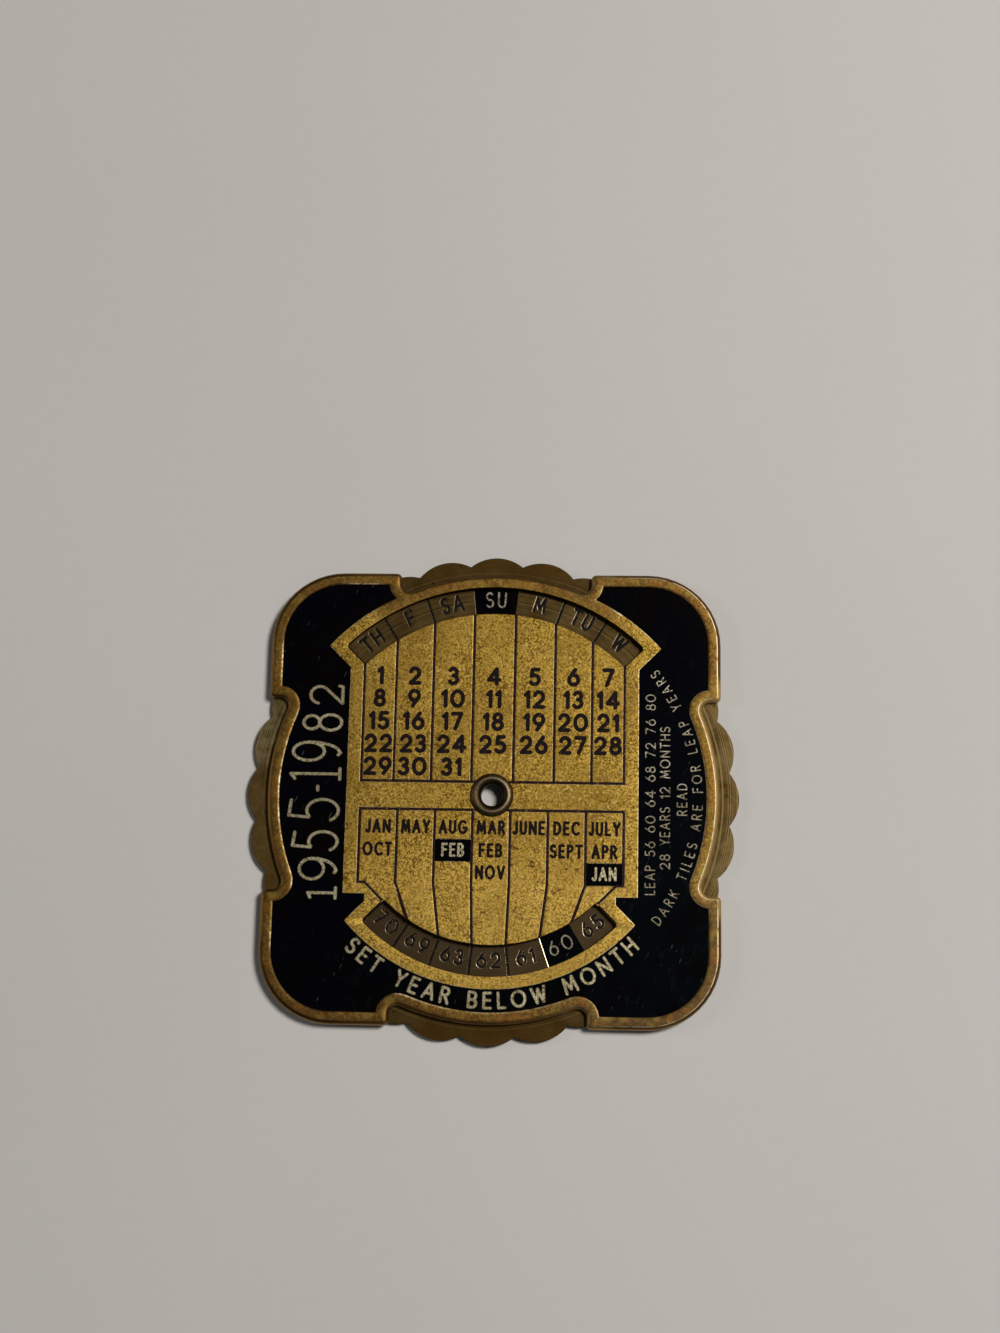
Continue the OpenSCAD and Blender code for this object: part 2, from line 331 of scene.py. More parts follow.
def from_axle(place):
    """Distance from the axle, in millimetres."""
    flat = place.node("ShaderNodeVectorMath", {"operation": "MULTIPLY"}, {0: place, 1: (1, 1, 0)})
    return flat.node("ShaderNodeVectorMath", {"operation": "LENGTH"}, {0: flat}, "Value")


def larger(first, second):
    return first.sum_with("MAXIMUM", first, second)


def smaller(first, second):
    return first.sum_with("MINIMUM", first, second)


def beyond(lobe, bulge):
    """A mask of the border, from a distance out on the lobes and another on the bulges."""
    lobes = between(lobe_distance, lobe, lobe + RIM_BLUR)
    return larger(lobes, bulging * between(radius, bulge, bulge + RIM_BLUR))


def window_edge(window, side):
    """A mask of the narrow strip round a window above or below the axle."""
    inner, outer = window
    strip = between(radius, inner - WINDOW_EDGE, inner - WINDOW_EDGE / 2)
    strip = strip * below(radius, outer + WINDOW_EDGE / 2, outer + WINDOW_EDGE)
    strip = strip * between(along - across, -2 * WINDOW_EDGE, -WINDOW_EDGE)
    return strip * between(side * y, 7.0, 8.0)


x, y, height = [part_of(place, axis) for axis in "XYZ"]
radius = from_axle(place)
across = abs(x)
along = abs(y)
over = larger(across - LOBE_MIDDLE, 0.0)
up = larger(along - LOBE_MIDDLE, 0.0)
lobe_distance = LOBE_MIDDLE + (over * over + up * up) ** 0.5
bulging = below(smaller(across, along), BULGE_HALF - 1, BULGE_HALF + 1)
rim = beyond(RIM_INNER, RIM_INNER)
outer = beyond(RIM_MIDDLE_ON_LOBES, RIM_MIDDLE_ON_BULGES)
windows = larger(window_edge(DAY_WINDOW, 1), window_edge(YEAR_WINDOW, -1))
left = below(x, -8.0, 4.0)
right = between(x, 6.0, 18.0)
back = below(height, PLATE_FOOT + 0.01, PLATE_FOOT + 0.06)
print("border from", RIM_INNER, "mm outwards")

# %% [markdown]
# ## The sandy panel
# The panel has more life than its grain: rosy patches, painted shade over its upper half, painted light
# low down, single bright grains and one long scratch across the dates. Each is a thin layer of colour with
# its own mask, like glazes on a painting. A single noise with more detail would be simpler, but then
# nothing would have a place.

# %% Panel stains, painted shade and painted light
SCRATCH_Y = 5.5
ROSE = tint(0.58, 0.38, 0.16)
UPPER_SHADE = tint(0.20, 0.115, 0.012)
LOWER_PAINTED_LIGHT = tint(0.90, 0.62, 0.16)
BRIGHT_GRAIN = tint(0.98, 0.74, 0.28)
SCRATCH_DIRT = tint(0.07, 0.04, 0.012)


def stretched(place, turn, along, across):
    """The same place in another scale, so that noise on it is drawn out along one direction."""
    inputs = {"Vector": place, "Rotation": (0, 0, turn), "Scale": (along, across, 1)}
    return place.node("ShaderNodeMapping", {"vector_type": "TEXTURE"}, inputs)


rosy = between(noise(place, 0.5, detail=2.0), 0.5, 0.7)
sparkle = between(noise(place, 0.3, detail=1.0), 0.6, 0.72) * between(noise(place, 4.5), 0.38, 0.62)
level = y - SCRATCH_Y + 0.15 * noise(stretched(place, turn=0.0, along=9.0, across=1.0), 1.0)
scratch = between(level, 0.02, 0.06) * below(level, 0.09, 0.13) * below(across, 13.8, 14.6)
metal = layered(metal, [
    (rosy * 0.2, ROSE),
    # Painted shade over the upper half of the panel.
    (between(y, -9.0, 1.0) * 0.25, UPPER_SHADE),
    # Painted light low on the panel.
    (below(y, -11.0, -5.0) * 0.12, LOWER_PAINTED_LIGHT),
    (sparkle * 0.5, BRIGHT_GRAIN),
    (scratch * between(noise(place, 1.5), 0.35, 0.5), SCRATCH_DIRT),
])
print("scratch across the dates at", SCRATCH_Y, "mm over the axle")

# %% [markdown]
# ## The handled border, with painted light and shade
# Fingers hold the calendar by its border, which is browner than the panel, with reddish and olive patches
# in it and more brown at the lower right. Painted shade lies on its left side and grows towards the lower
# right, and painted light lies on its bulges at the right. One brown all round would look painted, so
# several layers overlap. The corners get a layer of their own on the border's inner half.

# %% Border stains, painted shade and painted light
RIM_BROWN = tint(0.135, 0.069, 0.022)
LEFT_PAINTED_SHADE = tint(0.10, 0.05, 0.013)
FOOT_BROWN = tint(0.10, 0.066, 0.036)
CORNER_BROWN = tint(0.10, 0.052, 0.016)
REDDISH = tint(0.33, 0.135, 0.03)
OLIVE = tint(0.36, 0.25, 0.06)

blotch = between(noise(place, 0.36, detail=3.0), 0.4, 0.62)
reddish = between(noise(place, 1.3, detail=3.0), 0.5, 0.64)
olive = between(noise(place, 1.9, detail=3.0), 0.54, 0.68)
# shady: painted shade on the border, growing towards the lower right.
shady = between(x - y, -40.0, 20.0)
lower_right = between(x - y, 26.0, 40.0)
fading = 1.25 - 0.75 * between(y, -5.0, 18.0)
turning = rim * between(across + along, 39.5, 41.5)
metal = layered(metal, [
    # Less brown on the bulges at the right: painted light on the side towards the lamp.
    (rim * (0.41 + 0.20 * shady + 0.36 * blotch - 0.24 * right * bulging), RIM_BROWN),
    # Painted shade on the left side of the border, away from the lamp, strongest low down.
    (rim * left * fading * (0.2 + 0.3 * outer), LEFT_PAINTED_SHADE),
    (rim * lower_right * 0.6, FOOT_BROWN),
    (turning * (1 - outer) * (1 - right) * 0.45, CORNER_BROWN),
    (rim * reddish * 0.4, REDDISH),
    (rim * olive * 0.45, OLIVE),
])
print("layers on the panel and border ready")

# %% [markdown]
# ## Polished edges, painted highlights and painted shade
# Edges that rub in a pocket turn bright, and on the side towards the lamp they also get a painted
# highlight; the low walls of the windows get painted shade. Both follow from a point's height: the crest of
# the border and the edges of the panel lie just below the top, and the walls of the windows far below it.
# A bright line breaks off here and there, so a noise gates it. The strips round the windows are darker at
# their edges. The border's outer slope is smooth, with painted light on it at the right, and the back is
# plain.

# %% Plate edges
CREST = 1.685
SLOPE_BROWN = tint(0.25, 0.14, 0.045)
SLOPE_PAINTED_LIGHT = tint(0.62, 0.43, 0.17)
CREST_PAINTED_HIGHLIGHT = tint(0.72, 0.62, 0.43)
EDGE_POLISH_AND_HIGHLIGHT = tint(0.95, 0.85, 0.60)
CORNER_DIRT = tint(0.055, 0.028, 0.010)
WINDOW_EDGE_DARK = tint(0.06, 0.032, 0.010)
WALL_PAINTED_SHADE = tint(0.03, 0.017, 0.008)
BACK_BROWN = tint(0.11, 0.07, 0.026)

slope = outer * below(height, CREST - 0.09, CREST)
# crest: a painted highlight, a thin line along the crest of the border at the right, towards the lamp.
crest = outer * right * between(height, CREST - 0.034, CREST - 0.027)
crest = crest * below(height, CREST - 0.021, CREST - 0.013)
crest = crest * between(noise(place, 0.9, detail=2.0), 0.3, 0.5)
edge = between(height, CREST - 0.08, CREST - 0.05) * below(height, CREST - 0.015, CREST)
stretch = between(noise(place, 3.0), 0.46, 0.54)
# worn: bright worn edges, plus a painted highlight on the border's inner edge at the left, facing the lamp.
worn = edge * (1 - outer) * between(noise(place, 0.45, detail=2.0), 0.36, 0.58)
worn = worn * (1 - rim * (1 - left * stretch)) * (1 - windows) * (1 - turning)
# Painted shade on the low walls of the windows.
wall_shade = below(height, 1.2, 1.6) * (1 - rim) * (1 - back)
metal = layered(metal, [
    (slope, SLOPE_BROWN),
    # Painted light on the outer slope of the bulges at the right.
    (slope * right * bulging, SLOPE_PAINTED_LIGHT),
    (crest, CREST_PAINTED_HIGHLIGHT),
    (worn * (0.9 - 0.35 * rim), EDGE_POLISH_AND_HIGHLIGHT),
    (turning * edge * (1 - right) * 0.7, CORNER_DIRT),
    # Darker along the edges of the windows.
    (windows * below(height, CREST - 0.03, CREST) * 0.75, WINDOW_EDGE_DARK),
    (wall_shade, WALL_PAINTED_SHADE),
    (back * (0.5 + 0.3 * blotch), BACK_BROWN),
])
connect(shader, Base_Color=metal, Roughness=0.58 - 0.22 * slope * (1 - right * bulging),
        Normal=bumps(grain * (1 - 0.9 * slope), PLATE_GRAIN["grain_depth"]))
print("crest of the border at", CREST, "mm")

# %% [markdown]
# ## The wheel's dull brass
# The wheel is rolled sheet that fingers have rubbed and darkened. Its streaks run round the axle, so one
# noise is read from the distance to the axle alone, and a second one breaks it up. The scallops that show
# at the sides are rubbed paler, with a grey patch at the left that is rubbed metal with painted light on
# it, and the upper and lower ones stay brown.
# The walls of the struck marks are polished, which is a matter of depth below the wheel's top.

# %% Wheel brass
WHEEL_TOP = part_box("calendar_wheel")[1].z / MM
YEAR_RING_OUT = 19.8
MARKS_IN = YEAR_WINDOW[0]
MARKS_OUT = 23.6
MARKS_BLUR = 0.3
SHEET_DARK = tint(0.054, 0.031, 0.009)
SHEET_LIGHT = tint(0.138, 0.093, 0.034)
YEAR_RING_BROWN = tint(0.066, 0.045, 0.026)
UPRIGHT_BROWN = tint(0.066, 0.031, 0.003)
RUBBED = tint(0.19, 0.14, 0.062)
RUBBED_GREY_AND_PAINTED_LIGHT = tint(0.31, 0.24, 0.125)
LOWER_LEFT_BROWN = tint(0.125, 0.076, 0.019)
STREAK = tint(0.34, 0.23, 0.08)
SPOT = tint(0.02, 0.016, 0.01)
STRUCK_POLISH = tint(0.56, 0.48, 0.33)


def dots(place, spacing):
    """Distance to the nearest of many scattered points, in shares of their spacing."""
    return place.node("ShaderNodeTexVoronoi", {}, {"Vector": place, "Scale": 1 / spacing}, "Distance")


wheel_brass, shader, place = new_material("wheel_brass")
x, y, height = [part_of(place, axis) for axis in "XYZ"]
radius = from_axle(place)
depth = WHEEL_TOP - height
ring = radius.node("ShaderNodeTexNoise", {"noise_dimensions": "1D"},
                   {"W": radius, "Scale": 4.5, "Detail": 3.0}, "Fac")
patch = noise(place, 2.6, detail=4.0, rough=0.65)
grime = noise(place, 0.5, detail=3.0)
spots = below(dots(place, 1.7), 0.05, 0.16)
inner_ring = below(radius, YEAR_RING_OUT, YEAR_RING_OUT + 0.3) * below(depth, 0.2, 0.3)
rubbed = between(abs(x), 20.0, 26.5) * between(ring * 0.4 + patch * 0.6, 0.35, 0.62)
upper_left = between(0 - x, 18.0, 26.0) * between(y, 2.2, 4.2)
lower_left = between(0 - x, 18.0, 24.0) * below(y, 0.0, 4.0)
streaks = between(x, 18.0, 24.0) * (between(ring, 0.52, 0.6) - between(ring, 0.66, 0.72))
struck = between(depth, 0.003, 0.01) * below(depth, 0.1, 0.11)
struck = struck * between(radius, MARKS_IN - MARKS_BLUR, MARKS_IN)
struck = struck * below(radius, MARKS_OUT, MARKS_OUT + MARKS_BLUR)
struck = struck * (1 - 0.45 * between(radius, YEAR_RING_OUT, YEAR_RING_OUT + 0.4))
struck = struck * (0.3 + 0.7 * between(x, -6.0, 5.0)) * between(noise(place, 0.4), 0.32, 0.54)
tone = between(ring * 0.5 + patch * 0.5, 0.34, 0.68)
metal = layered(blend(tone, SHEET_DARK, SHEET_LIGHT), [
    (inner_ring * 0.7, YEAR_RING_BROWN),
    (between(abs(y), 23.0, 26.0) * 0.6, UPRIGHT_BROWN),
    (rubbed * 0.75, RUBBED),
    # A grey patch at the left: rubbed metal with painted light on it.
    (rubbed * upper_left, RUBBED_GREY_AND_PAINTED_LIGHT),
    (lower_left * (0.85 - 0.6 * between(grime, 0.4, 0.65)), LOWER_LEFT_BROWN),
    (streaks * 0.5, STREAK),
    (spots * between(grime, 0.45, 0.6), SPOT),
    (struck, STRUCK_POLISH),
])
connect(shader, Base_Color=metal, Metallic=1.0, Roughness=0.46 + 0.2 * grime - 0.2 * struck,
        Normal=bumps(ring * 0.4 + grime * 0.6, depth=0.008))
print("top of the wheel at", round(WHEEL_TOP, 3), "mm")

# %% [markdown]
# ## The eyelet's bronze
# The eyelet is a drawn tube, rolled over at the front, in a darker bronze. Its bore is made nearly black
# with painted shade, and the worn crest of its roll carries a pale ring of painted highlight. The crest is
# simply a ring at a certain distance from the axle, so no new shape is needed for it.

# %% Eyelet bronze
ROLL_CREST = 1.87
ROLL_BAND = 0.045
BRONZE_DARK = tint(0.088, 0.057, 0.025)
BRONZE_LIGHT = tint(0.165, 0.112, 0.056)
BORE_PAINTED_SHADE = tint(0.045, 0.030, 0.012)
ROLL_PAINTED_HIGHLIGHT = tint(0.28, 0.24, 0.175)

eyelet_bronze, shader, place = new_material("eyelet_bronze")
grime = noise(place, 0.35, detail=3.0)
radius = from_axle(place)
# inside: painted shade that darkens the bore and its funnel.
inside = below(radius, ROLL_CREST - 0.3, ROLL_CREST - ROLL_BAND)
# worn: a pale ring of painted highlight on the crest of the roll.
worn = between(radius, ROLL_CREST - 2 * ROLL_BAND, ROLL_CREST - ROLL_BAND)
worn = worn * below(radius, ROLL_CREST + ROLL_BAND, ROLL_CREST + 2 * ROLL_BAND)
metal = layered(blend(between(grime, 0.3, 0.7), BRONZE_DARK, BRONZE_LIGHT), [
    (inside, BORE_PAINTED_SHADE),
    (worn * 0.8, ROLL_PAINTED_HIGHLIGHT),
])
connect(shader, Base_Color=metal, Metallic=1.0, Roughness=0.48, Normal=bumps(grime, depth=0.008))
print("worn crest of the eyelet at a radius of", ROLL_CREST, "mm")

# %% [markdown]
# ## Black enamel
# Enamel is glass: nearly black and very smooth, with a breath of navy and brown in it, and a painted teal
# sheen towards the lower right. Fine scratches, smudges and dust mark it. A scratch is noise drawn out
# along one direction and cut to a thin band. Real grooves would be far too fine to model, so the marks are
# only paler and rougher.

# %% Enamel
NAVY = tint(0.0005, 0.0004, 0.0026)
BROWN_BLACK = tint(0.0014, 0.0006, 0.0006)
TEAL_PAINTED_SHEEN = tint(0.0007, 0.0021, 0.0034)
SMUDGE = tint(0.0030, 0.0080, 0.0092)
SCRATCHED = tint(0.07, 0.095, 0.10)

enamel, shader, place = new_material("black_enamel")
lines = between(noise(stretched(place, turn=1.2, along=1.5, across=0.14), 1.0), 0.71, 0.77)
lines = lines * between(noise(place, 6.0), 0.47, 0.57)
dust = below(dots(place, 1.83), 0.02, 0.05) * between(noise(place, 3.0), 0.52, 0.6)
marks = between(lines + dust, 0.0, 1.0)
corner = between(part_of(place, "X") - part_of(place, "Y"), -5.0, 35.0)
haze = between(noise(place, 3.0, detail=3.0), 0.3, 0.6)
smudge = hairs(stretched(place, turn=1.4, along=1.7, across=0.8), 1.6) * (0.3 + 0.7 * corner)
glass = layered(blend(between(noise(place, 4.0), 0.42, 0.58), NAVY, BROWN_BLACK), [
    # Painted teal sheen in hazy patches towards the lower right.
    (corner * haze, TEAL_PAINTED_SHEEN),
    (smudge * 0.6, SMUDGE),
    (marks * 0.6, SCRATCHED),
])
connect(shader, Base_Color=glass, Roughness=0.14 + 0.4 * marks, Specular_IOR_Level=0.4,
        Normal=bumps(noise(place, 5.0), depth=0.02))
print("enamel ready:", enamel.name)

# %% [markdown]
# ## Dull paint
# Ruled lines and figures are filled with paint that is duller than enamel and has broken away here and
# there, so some of the brass below shows again as specks. One function mixes it, and three paints differ
# only in colour and wear: for the plate's lines, for its figures, and for the wheel. The solids that keep
# their own shape get their finish here too.

# %% Paint
BARE_BRASS = tint(0.34, 0.20, 0.06)
PALE_SHARE = 1.9
WEAR_BLUR = 0.06


def paint(name, colour, wear_size, wear):
    """Dull paint in struck figures and lines, worn through to brass in specks."""
    material, shader, place = new_material(name)
    speck = noise(place, wear_size, detail=3.0, rough=0.7)
    bare = between(speck, wear, wear + WEAR_BLUR)
    pale = tint(*[PALE_SHARE * c for c in colour[:3]])
    body = blend(between(noise(place, 0.6), 0.3, 0.7), colour, pale)
    connect(shader, Base_Color=blend(bare, body, BARE_BRASS), Metallic=bare, Roughness=0.6,
            Specular_IOR_Level=0.12, Normal=bumps(speck, depth=0.01))
    return material


line_fill = paint("line_fill", tint(0.014, 0.004, 0.003), wear_size=0.26, wear=0.63)
figure_paint = paint("figure_paint", tint(0.006, 0.0025, 0.0035), wear_size=0.2, wear=0.66)
wheel_paint = paint("wheel_paint", tint(0.004, 0.0025, 0.0018), wear_size=0.24, wear=0.64)

FINISHES = {"field_enamel": enamel, "month_tile_enamel": enamel, "sunday_enamel": enamel,
            "leap_year_enamel": enamel, "eyelet": eyelet_bronze}
for name, material in FINISHES.items():
    nodes[name].material_slots[0].material = material
print("finished solids:", sorted(FINISHES))

# %% [markdown]
# ## Copies that stand in for solids
# The solids of the frame are exact, and they stay as they are. Where the real piece is softer, a copy
# stands in for its solid. A copy's mesh is loose triangles, so these are merged first: an operator such
# as bevel needs faces that share their edges. The helpers here pick, copy, smooth and dress a piece.

# %% Copies
SAME_PLACE = 0.0005 * MM


def show_alone(piece):
    """Selects a piece alone and makes it active."""
    bpy.ops.object.select_all(action="DESELECT")
    piece.select_set(True)
    bpy.context.view_layer.objects.active = piece


def merged_copy(node, name):
    """A copy of a solid with its loose triangles merged, left in edit mode with all of it selected."""
    show_alone(nodes[node])
    bpy.ops.object.duplicate()
    piece = bpy.context.object
    piece.name = name
    piece.data.name = name
    for key in list(piece.keys()):
        del piece[key]
    piece.parent = None
    bpy.ops.object.mode_set(mode="EDIT")
    bpy.ops.mesh.select_all(action="SELECT")
    bpy.ops.mesh.remove_doubles(threshold=SAME_PLACE)
    bpy.ops.mesh.dissolve_degenerate(threshold=SAME_PLACE)
    bpy.ops.mesh.select_all(action="SELECT")
    return piece


def smooth(piece, angle):
    """Smooth shading up to an angle, in which the large flat faces keep their own direction."""
    show_alone(piece)
    bpy.ops.object.shade_smooth_by_angle(angle=angle)
    bpy.ops.object.modifier_add(type="WEIGHTED_NORMAL")
    piece.modifiers[-1].keep_sharp = True
    bpy.ops.object.modifier_apply(modifier=piece.modifiers[-1].name)


def dress(piece, material, body, node=None):
    """Gives a piece its material and body, and hides the solid that it stands in for."""
    piece.data.materials.clear()
    piece.data.materials.append(material)
    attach(piece, body)
    if node:
        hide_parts(node)
    print(piece.name, "faces:", len(piece.data.polygons))


print("solids that can be copied:", sorted(nodes))

# %% [markdown]
# ## Softened edges
# No struck edge is razor sharp, and the thin bright lines round border, panel and windows are light
# caught on such edges. A Bevel modifier would soften all edges alike, so the sharp ones are picked in
# code instead, by where they lie. The border's inner edge is a flat bead and gets a wide bevel, which is
# then flattened. All other edges outside the eyelet's flange get a narrow one.

# %% Softened plate and wheel
SHARP = math.radians(35)
SMOOTH_UP_TO = math.radians(26)
FLANGE_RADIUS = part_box("eyelet")[1].x / MM
PLATE_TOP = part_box("front_plate")[1].z / MM
FIELD_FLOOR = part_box("field_enamel")[0].z / MM
BORDER_SQUARE = 19.8
BORDER_RADIUS = 23.0
NEAR_TOP = 0.01
NEAR_FLOOR = 0.1
BEAD = 0.28
BEAD_FLATTEN = 0.42
PLATE_EDGE = 0.1
WHEEL_EDGE = 0.07


def pick_sharp(piece, wanted):
    """Selects, in edit mode, the sharp edges that a test of their two ends and their lowest face wants."""
    bpy.ops.mesh.select_all(action="DESELECT")
    bpy.ops.mesh.select_mode(type="EDGE")
    bpy.ops.mesh.edges_select_sharp(sharpness=SHARP)
    bpy.ops.object.mode_set(mode="OBJECT")
    spots = [corner.co / MM for corner in piece.data.vertices]
    lowest = {}
    for face in piece.data.polygons:
        low = min(spots[i].z for i in face.vertices)
        for key in face.edge_keys:
            lowest[key] = min(low, lowest.get(key, low))
    for line in piece.data.edges:
        ends = [spots[i] for i in line.vertices]
        line.select = line.select and wanted(ends, lowest[line.key])
    bpy.ops.object.mode_set(mode="EDIT")


def outside_flange(ends, low):
    return max(end.xy.length for end in ends) > FLANGE_RADIUS


def border_edge(ends, low):
    """Is this an edge on top of the border, over the floor of the field?"""
    on_top = min(end.z for end in ends) > PLATE_TOP - NEAR_TOP
    over_floor = abs(low - FIELD_FLOOR) < NEAR_FLOOR
    off_panel = min(max(abs(end.x), abs(end.y)) for end in ends) > BORDER_SQUARE
    off_frames = min(end.xy.length for end in ends) > BORDER_RADIUS
    return on_top and over_floor and off_panel and off_frames


plate = merged_copy("front_plate", "struck_plate")
pick_sharp(plate, border_edge)
bpy.ops.mesh.bevel(offset=BEAD * MM, segments=3, affect="EDGES", loop_slide=False)
bpy.ops.object.mode_set(mode="OBJECT")
for corner in plate.data.vertices:
    if corner.select:
        corner.co.z = (PLATE_TOP - BEAD_FLATTEN * (PLATE_TOP - corner.co.z / MM)) * MM
bpy.ops.object.mode_set(mode="EDIT")
pick_sharp(plate, outside_flange)
bpy.ops.mesh.bevel(offset=PLATE_EDGE * MM, segments=2, affect="EDGES", loop_slide=False)
bpy.ops.mesh.select_all(action="SELECT")
bpy.ops.mesh.delete_loose()
bpy.ops.object.mode_set(mode="OBJECT")
smooth(plate, SMOOTH_UP_TO)
dress(plate, plate_brass, "plate", "front_plate")

wheel = merged_copy("calendar_wheel", "scalloped_wheel")
pick_sharp(wheel, outside_flange)
bpy.ops.mesh.bevel(offset=WHEEL_EDGE * MM, segments=2, affect="EDGES", loop_slide=False)
bpy.ops.object.mode_set(mode="OBJECT")
dress(wheel, wheel_brass, "wheel", "calendar_wheel")

# %% [markdown]
# ## Lines of paint
# Paint in a ruled line never ends exactly at the edges of its groove: it creeps a little over them. The
# fills of all lines are copied and swollen along their normals with the shrink and fatten operator,
# which lifts the paint to the metal and makes each line a trace wider than its groove. The lines on the
# wheel are darker than those on the plate.

# %% Swollen fills
CREEP = 0.035

LINES = {"date_grid_fill": ("date_lines", "plate", line_fill),
         "month_grid_fill": ("month_lines", "plate", line_fill),
         "day_divider_fill": ("day_lines", "wheel", wheel_paint),
         "year_divider_fill": ("year_lines", "wheel", wheel_paint)}
for node, (name, body, material) in LINES.items():
    piece = merged_copy(node, name)
    bpy.ops.transform.shrink_fatten(value=CREEP * MM, use_even_offset=True)
    bpy.ops.object.mode_set(mode="OBJECT")
    dress(piece, material, body, node)

# %% [markdown]
# ## A pen for struck figures
# The figures are plain strokes of even width with round ends, as a die engraver's cutter leaves them.
# A font would bring its own style, so each figure is drawn here as a few centre lines: straight runs
# and arcs in a box one unit high. The pen then gives them their width.

# %% Centre lines
ARC_TURN = 18


def arc(cx, cy, rx, ry, start, stop):
    """Points along part of an ellipse, from one angle to another in degrees."""
    count = max(2, round(abs(stop - start) / ARC_TURN))
    angles = [math.radians(start + (stop - start) * i / count) for i in range(count + 1)]
    return [(cx + rx * math.cos(a), cy + ry * math.sin(a)) for a in angles]


STEM = [(0, 0), (0, 1)]
BOWL = [(0, 1), *arc(0.24, 0.755, 0.26, 0.245, 90, -90), (0, 0.51)]
LETTERS = {
    "0": [arc(0.40, 0.5, 0.40, 0.5, 0, 360)],
    "1": [[(0, 0.8), (0.2, 1), (0.2, 0)]],
    "2": [[*arc(0.31, 0.69, 0.31, 0.31, 165, -38), (0, 0), (0.64, 0)]],
    "3": [arc(0.27, 0.76, 0.25, 0.24, 150, -90), arc(0.27, 0.26, 0.29, 0.26, 90, -150)],
    "4": [[(0.56, 0), (0.56, 1), (0, 0.27), (0.76, 0.27)]],
    "5": [[(0.56, 1), (0.14, 1), *arc(0.28, 0.31, 0.32, 0.31, 130, -145)]],
    "6": [arc(0.33, 0.32, 0.33, 0.32, 0, 360), [(0.03, 0.46), (0.44, 1)]],
    "7": [[(0, 1), (0.62, 1), (0.2, 0)]],
    "8": [arc(0.31, 0.77, 0.25, 0.23, 0, 360), arc(0.31, 0.27, 0.31, 0.27, 0, 360)],
    "9": [arc(0.33, 0.68, 0.33, 0.32, 0, 360), [(0.63, 0.54), (0.22, 0)]],
    "A": [[(0, 0), (0.36, 1), (0.72, 0)], [(0.12, 0.33), (0.6, 0.33)]],
    "B": [STEM, BOWL, [(0.24, 0.51), *arc(0.26, 0.255, 0.29, 0.255, 90, -90), (0, 0)]],
    "C": [arc(0.44, 0.5, 0.44, 0.5, 50, 310)],
    "D": [STEM, [(0, 1), *arc(0.2, 0.5, 0.46, 0.5, 90, -90), (0, 0)]],
    "E": [[(0.48, 1), (0, 1), (0, 0), (0.48, 0)], [(0, 0.52), (0.42, 0.52)]],
    "F": [[(0.48, 1), (0, 1), (0, 0)], [(0, 0.52), (0.42, 0.52)]],
    "G": [[*arc(0.44, 0.5, 0.44, 0.5, 50, 350), (0.52, 0.42)]],
    "H": [STEM, [(0.62, 0), (0.62, 1)], [(0, 0.52), (0.62, 0.52)]],
    "I": [STEM],
    "J": [[(0.36, 1), (0.36, 0.22), *arc(0.18, 0.2, 0.18, 0.2, -18, -160)]],
    "K": [STEM, [(0.54, 1), (0, 0.42)], [(0.2, 0.62), (0.58, 0)]],
    "L": [[(0, 1), (0, 0), (0.44, 0)]],
    "M": [[(0, 0), (0.1, 1), (0.42, 0.2), (0.74, 1), (0.84, 0)]],
    "N": [[(0, 0), (0, 1), (0.66, 0), (0.66, 1)]],
    "O": [arc(0.46, 0.5, 0.46, 0.5, 0, 360)],
    "P": [STEM, BOWL],
    "R": [STEM, BOWL, [(0.24, 0.51), (0.54, 0)]],
    "S": [[*arc(0.27, 0.755, 0.25, 0.245, 35, 270), *arc(0.27, 0.255, 0.27, 0.255, 72, -150)]],
    "T": [[(0, 1), (0.6, 1)], [(0.3, 1), (0.3, 0)]],
    "U": [[(0, 1), (0, 0.3), *arc(0.29, 0.29, 0.29, 0.29, 198, 342), (0.58, 0.3), (0.58, 1)]],
    "V": [[(0, 1), (0.34, 0), (0.68, 1)]],
    "W": [[(0, 1), (0.23, 0), (0.46, 0.9), (0.69, 0), (0.92, 1)]],
    "Y": [[(0, 1), (0.31, 0.47), (0.62, 1)], [(0.31, 0.47), (0.31, 0)]],
}
print("letters and figures drawn:", len(LETTERS))

# %% [markdown]
# ## From centre line to ribbon
# A curve with a bevel could give a stroke its width, but its crossings and ends are hard to govern. So a
# stroke becomes a ribbon here: quads along its centre line, mitred where it bends gently and split where
# it turns sharply, with half a disc at each end.

# %% Ribbons
SPLIT_TURN = math.radians(40)
CAP_SIDES = 8
SAME_POINT = 1e-6


def split_strokes(points):
    """A centre line cut wherever it turns sharply."""
    runs = [[points[0]]]
    for before, here, after in zip(points, points[1:], points[2:]):
        runs[-1].append(here)
        if (Vector(here) - Vector(before)).angle(Vector(after) - Vector(here), 0) > SPLIT_TURN:
            runs.append([here])
    runs[-1].append(points[-1])
    return runs


def cap(end, out, width):
    """Corners of the half disc that closes a stroke, from its right side to its left one."""
    start = math.atan2(out.y, out.x) - math.pi / 2
    turns = [start + math.pi * i / CAP_SIDES for i in range(1, CAP_SIDES)]
    return [end + width / 2 * Vector((math.cos(t), math.sin(t))) for t in turns]


